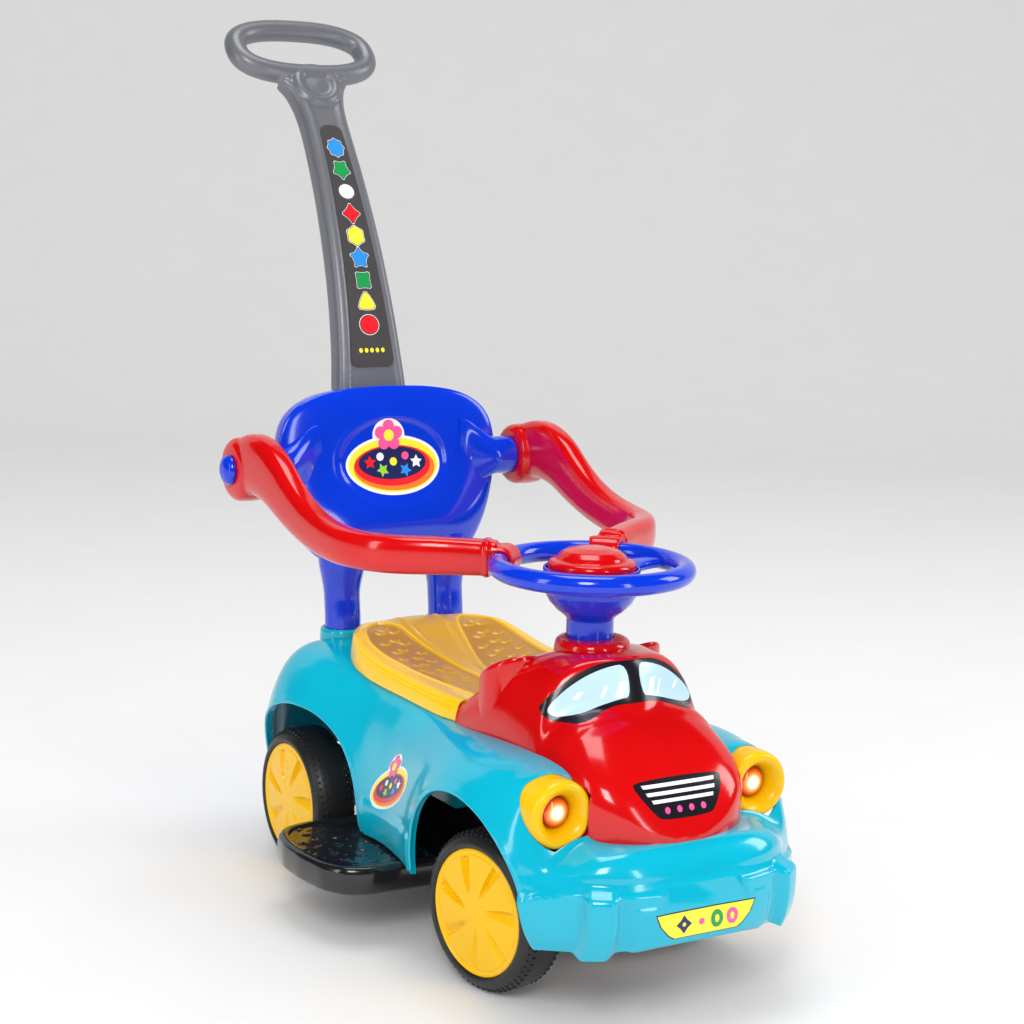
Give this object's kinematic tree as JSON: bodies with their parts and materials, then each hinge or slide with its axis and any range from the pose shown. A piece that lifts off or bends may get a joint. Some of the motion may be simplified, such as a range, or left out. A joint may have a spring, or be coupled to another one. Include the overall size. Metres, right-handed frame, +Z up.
{
  "type": "ride-on push car",
  "caption": "Child's ride-on car with a steered front axle, guard arms, backrest, lifting seat and parent push handle.",
  "frame": {"origin": "bottom centre of the bounding box, on the floor under the middle of the car and handle", "axes": "+Z up, the front of the car points to -Y, +X is the car's left side; at rest the front axle is turned 10 degrees, right wheel forward"},
  "size_m": [0.393, 0.8152, 0.8402],
  "materials": {
    "cyan_plastic": "glossy moulded turquoise plastic",
    "red_plastic": "glossy moulded red plastic",
    "blue_plastic": "glossy moulded royal blue plastic",
    "yellow_plastic": "glossy moulded yellow plastic",
    "black_plastic": "glossy moulded black plastic",
    "silver_plastic": "satin metallic silver plastic",
    "panel_plastic": "dark grey satin plastic",
    "orange_lens": "translucent orange lamp lens",
    "tyre_rubber": "moulded black tread",
    "axle_steel": "drawn steel rod"
  },
  "bodies": {
    "car": {"body_shell": "cyan_plastic", "chassis_base": "black_plastic", "footrest_left": "black_plastic", "footrest_right": "black_plastic", "hood": "red_plastic", "headlight_bezel_left": "yellow_plastic", "headlight_bezel_right": "yellow_plastic", "headlight_lens_left": "orange_lens", "headlight_lens_right": "orange_lens", "storage_bin": "cyan_plastic", "battery_box": "black_plastic", "battery_door": "black_plastic", "backrest_front": "blue_plastic", "backrest_rear": "blue_plastic", "backrest_post_left": "blue_plastic", "backrest_post_right": "blue_plastic", "pivot_boss_left": "blue_plastic", "pivot_boss_right": "blue_plastic", "pivot_pin_left": "axle_steel", "pivot_pin_right": "axle_steel", "pivot_cap_left": "blue_plastic", "pivot_cap_right": "blue_plastic", "push_handle": "silver_plastic", "handle_panel": "panel_plastic", "rear_axle": "axle_steel"},
    "steering": {"steering_wheel": "blue_plastic", "steering_shaft": "axle_steel", "steering_yoke": "black_plastic", "front_axle": "axle_steel"},
    "horn": {"horn_button": "red_plastic", "horn_spring": "axle_steel"},
    "arm_left": {"guard_arm_left": "red_plastic"},
    "arm_right": {"guard_arm_right": "red_plastic"},
    "seat": {"seat_lid": "yellow_plastic"},
    "wheel_front_left": {"wheel_disc_front_left": "yellow_plastic", "tyre_front_left": "tyre_rubber"},
    "wheel_front_right": {"wheel_disc_front_right": "yellow_plastic", "tyre_front_right": "tyre_rubber"},
    "wheel_rear_left": {"wheel_disc_rear_left": "yellow_plastic", "tyre_rear_left": "tyre_rubber"},
    "wheel_rear_right": {"wheel_disc_rear_right": "yellow_plastic", "tyre_rear_right": "tyre_rubber"}
  },
  "joints": [
    {"name": "steering_turn", "type": "hinge", "parent": "car", "child": "steering", "pos_m": [0, -0.22409, 0.3], "axis": [0, 0, 1], "range_deg": [-24, 4]},
    {"name": "horn_press", "type": "slide", "parent": "steering", "child": "horn", "axis": [0, 0, -1], "range_m": [0, 0.0035], "stiffness_N_per_m": 500, "springref_m": -0.002, "deforming": ["horn_spring"]},
    {"name": "arm_left_lift", "type": "hinge", "parent": "car", "child": "arm_left", "pos_m": [0.159, 0.15161, 0.3955], "axis": [-1, 0, 0], "range_deg": [0, 100]},
    {"name": "arm_right_lift", "type": "hinge", "parent": "car", "child": "arm_right", "pos_m": [-0.159, 0.15161, 0.3955], "axis": [-1, 0, 0], "range_deg": [0, 100]},
    {"name": "seat_lift", "type": "hinge", "parent": "car", "child": "seat", "pos_m": [0, -0.14609, 0.225], "axis": [1, 0, 0], "range_deg": [0, 60]},
    {"name": "wheel_front_left_spin", "type": "hinge", "parent": "steering", "child": "wheel_front_left", "pos_m": [0.10998, -0.21435, 0.07], "axis": [0.9848, 0.1736, 0], "continuous": true},
    {"name": "wheel_front_right_spin", "type": "hinge", "parent": "steering", "child": "wheel_front_right", "pos_m": [-0.10668, -0.25255, 0.07], "axis": [0.9848, 0.1736, 0], "continuous": true},
    {"name": "wheel_rear_left_spin", "type": "hinge", "parent": "car", "child": "wheel_rear_left", "pos_m": [0.11, 0.10841, 0.07], "axis": [1, 0, 0], "continuous": true},
    {"name": "wheel_rear_right_spin", "type": "hinge", "parent": "car", "child": "wheel_rear_right", "pos_m": [-0.11, 0.10841, 0.07], "axis": [1, 0, 0], "continuous": true}
  ]
}
